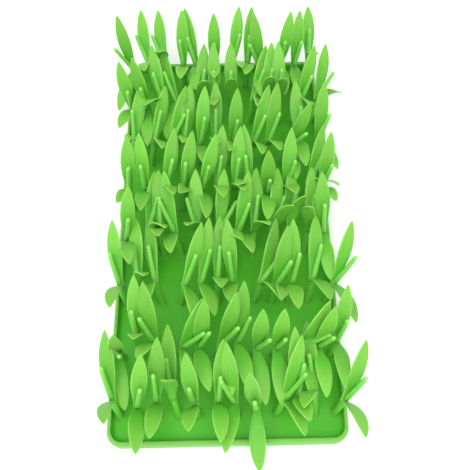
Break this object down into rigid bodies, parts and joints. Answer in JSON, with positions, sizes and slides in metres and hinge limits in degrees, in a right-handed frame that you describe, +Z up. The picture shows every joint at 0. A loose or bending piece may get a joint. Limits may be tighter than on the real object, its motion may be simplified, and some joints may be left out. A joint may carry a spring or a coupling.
{
  "type": "snuffle mat",
  "caption": "Green silicone rubber snuffle mat: a shallow rimmed tray with rows of bending grass tufts that hide dry food for a pet to nose out.",
  "frame": {"origin": "middle of the tray's flat underside", "axes": "+Z up; +Y along the mat, the way the tall leaves lean; +X across it, to the right when looking along +Y"},
  "size_m": [0.1707, 0.3542, 0.0653],
  "materials": {
    "tray_rubber": "satin",
    "grass_rubber": "satin"
  },
  "bodies": {
    "root": {"tray": "tray_rubber", "grass_row_1": "grass_rubber", "grass_row_2": "grass_rubber", "grass_row_3": "grass_rubber", "grass_row_4": "grass_rubber", "grass_row_5": "grass_rubber", "grass_row_6": "grass_rubber", "grass_row_7": "grass_rubber", "grass_row_8": "grass_rubber"}
  },
  "joints": []
}
